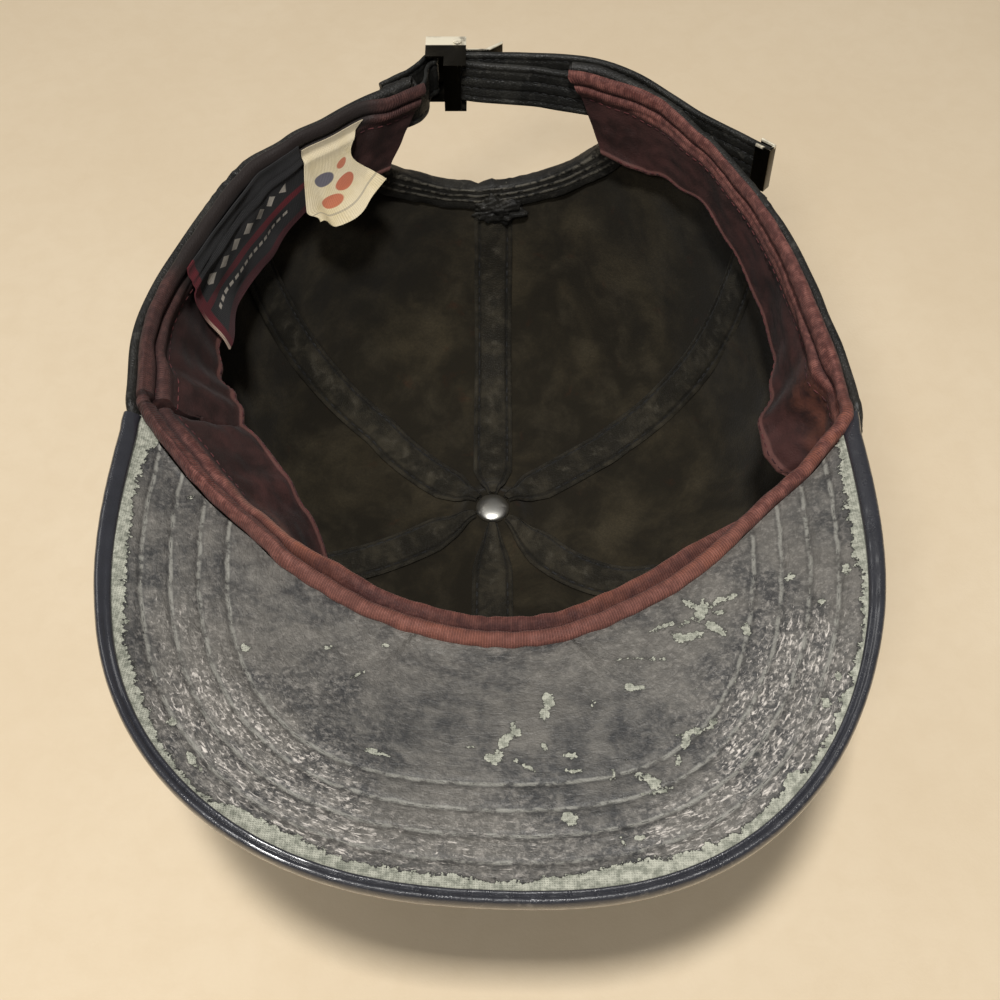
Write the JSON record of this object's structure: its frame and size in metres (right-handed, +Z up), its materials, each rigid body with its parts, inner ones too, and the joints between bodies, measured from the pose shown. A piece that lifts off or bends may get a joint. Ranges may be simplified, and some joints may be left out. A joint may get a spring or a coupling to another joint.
{
  "type": "baseball cap",
  "caption": "Black leather baseball cap lying upside down, with an arched brim, a maroon sweatband, a back arch and a buckled adjusting strap.",
  "frame": {"origin": "middle of the covered button's flat face, on the surface that the cap lies on", "axes": "+Z up through the cap's open side, +Y from the brim to the buckled strap, +X to the strap's free end"},
  "size_m": [0.1879, 0.266, 0.1178],
  "materials": {
    "black_leather": "worn smooth",
    "worn_leather": "scuffed and peeling",
    "suede": "napped inner face",
    "maroon_band": "woven",
    "black_cloth": "woven",
    "cream_cloth": "printed",
    "nickel": "polished, a little worn"
  },
  "bodies": {
    "cap": {"panel_back_right": "black_leather", "panel_back_left": "black_leather", "panel_side_left": "black_leather", "panel_front_left": "black_leather", "panel_front_right": "black_leather", "panel_side_right": "black_leather", "seam_tape_back": "suede", "seam_tape_back_left": "suede", "seam_tape_front_left": "suede", "seam_tape_front": "suede", "seam_tape_front_right": "suede", "seam_tape_back_right": "suede", "top_button": "black_leather", "button_rivet": "nickel", "brim": "worn_leather", "brim_hem": "black_leather", "arch_tape": "black_leather", "sweatband": "maroon_band", "woven_label": "black_cloth", "care_tag": "cream_cloth", "strap": "black_leather", "strap_tip": "nickel", "tab_loop": "black_leather", "buckle_frame": "nickel", "buckle_pin": "nickel"},
    "lever": {"buckle_lever": "nickel"}
  },
  "joints": [
    {"name": "lever_hinge", "type": "hinge", "parent": "cap", "child": "lever", "pos_m": [-0.0104, 0.0927, 0.1081], "axis": [0, 0, 1], "range_deg": [0, 95]}
  ]
}
